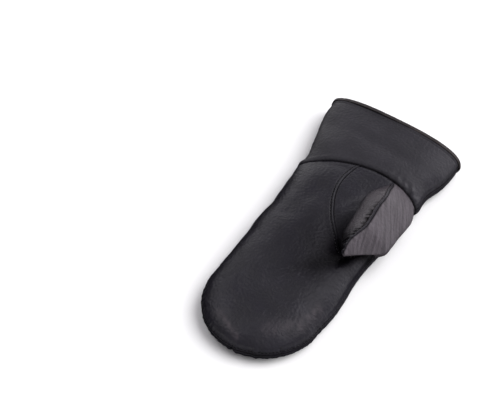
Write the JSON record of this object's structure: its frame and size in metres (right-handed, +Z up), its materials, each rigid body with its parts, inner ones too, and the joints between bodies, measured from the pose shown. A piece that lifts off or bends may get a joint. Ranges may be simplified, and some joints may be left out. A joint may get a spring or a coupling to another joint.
{
  "type": "leather mitten",
  "caption": "Black leather mitten for the left hand, wool inside, lying palm up: palm and back sewn round the edge, gusseted thumb, flared cuff with a bound mouth",
  "frame": {"origin": "middle of the mitten's footprint, on the surface that it lies on", "axes": "+Y from the fingertips to the mouth of the cuff, +X to the thumb side, +Z up out of the palm"},
  "size_m": [0.1408, 0.289, 0.058],
  "materials": {
    "hand_leather": "smooth semi-matt nappa with a fine grain",
    "cuff_leather": "smooth semi-matt nappa with a fine grain",
    "binding_leather": "matt narrow strip",
    "wool": "dense short wool pile"
  },
  "bodies": {
    "root": {"palm_panel": "hand_leather", "thumb_inner_panel": "hand_leather", "thumb_outer_panel": "hand_leather", "back_panel_thumb_side": "hand_leather", "back_panel_little_side": "hand_leather", "cuff_palm_half": "cuff_leather", "cuff_back_half": "cuff_leather", "mouth_binding": "binding_leather", "wool_lining": "wool"}
  },
  "joints": []
}
